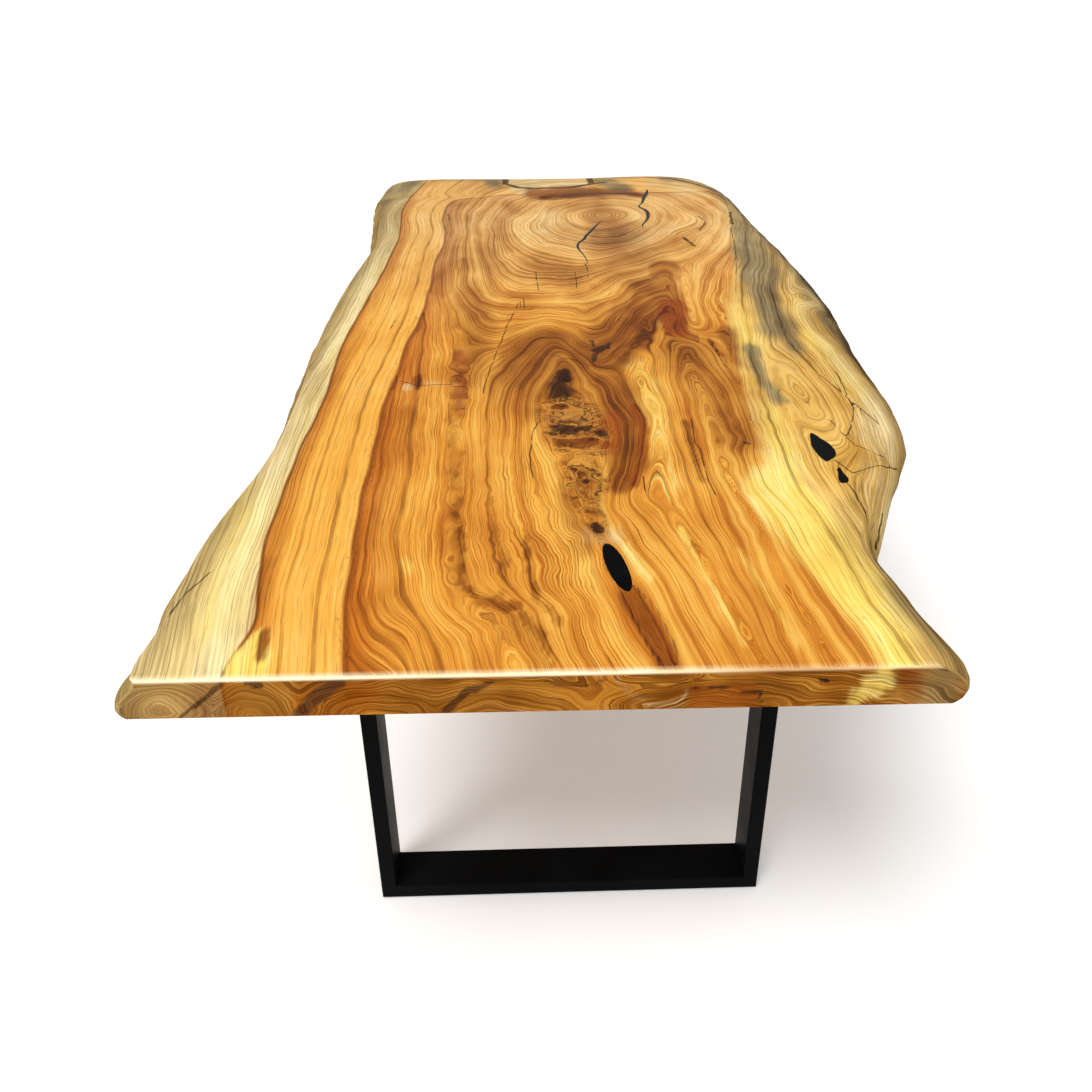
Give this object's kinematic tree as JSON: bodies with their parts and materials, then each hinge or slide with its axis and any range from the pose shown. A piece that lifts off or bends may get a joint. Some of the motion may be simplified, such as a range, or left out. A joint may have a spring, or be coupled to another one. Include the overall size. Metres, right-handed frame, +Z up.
{
  "type": "live edge table",
  "caption": "Dining table with a one-piece natural-edge wooden slab, black resin in its voids, on welded rectangular-tube loop legs.",
  "frame": {"origin": "on the floor below the middle of the table's outline", "axes": "+Y along the slab's grain from the sawn near end to the far end, +X across the slab to its bulging edge, +Z up"},
  "size_m": [1.0699, 2.37, 0.76],
  "materials": {
    "slab_wood": "satin clear lacquer",
    "black_resin": "polished cast resin",
    "leg_paint": "satin powder coat",
    "plated_steel": "zinc plated",
    "insert_brass": "turned",
    "pad_felt": "pressed felt"
  },
  "bodies": {
    "root": {"slab_top": "slab_wood", "resin_fill_oval": "black_resin", "resin_fill_edge_large": "black_resin", "resin_fill_edge_small": "black_resin", "resin_fill_heart_check": "black_resin", "resin_fill_ring_check": "black_resin", "resin_fill_shake": "black_resin", "near_leg_left_post": "leg_paint", "near_leg_right_post": "leg_paint", "near_leg_floor_rail": "leg_paint", "near_leg_top_rail": "leg_paint", "near_thread_inserts": "insert_brass", "near_bolts": "plated_steel", "near_washers": "plated_steel", "near_floor_pads": "pad_felt", "far_leg_left_post": "leg_paint", "far_leg_right_post": "leg_paint", "far_leg_floor_rail": "leg_paint", "far_leg_top_rail": "leg_paint", "far_thread_inserts": "insert_brass", "far_bolts": "plated_steel", "far_washers": "plated_steel", "far_floor_pads": "pad_felt"}
  },
  "joints": []
}
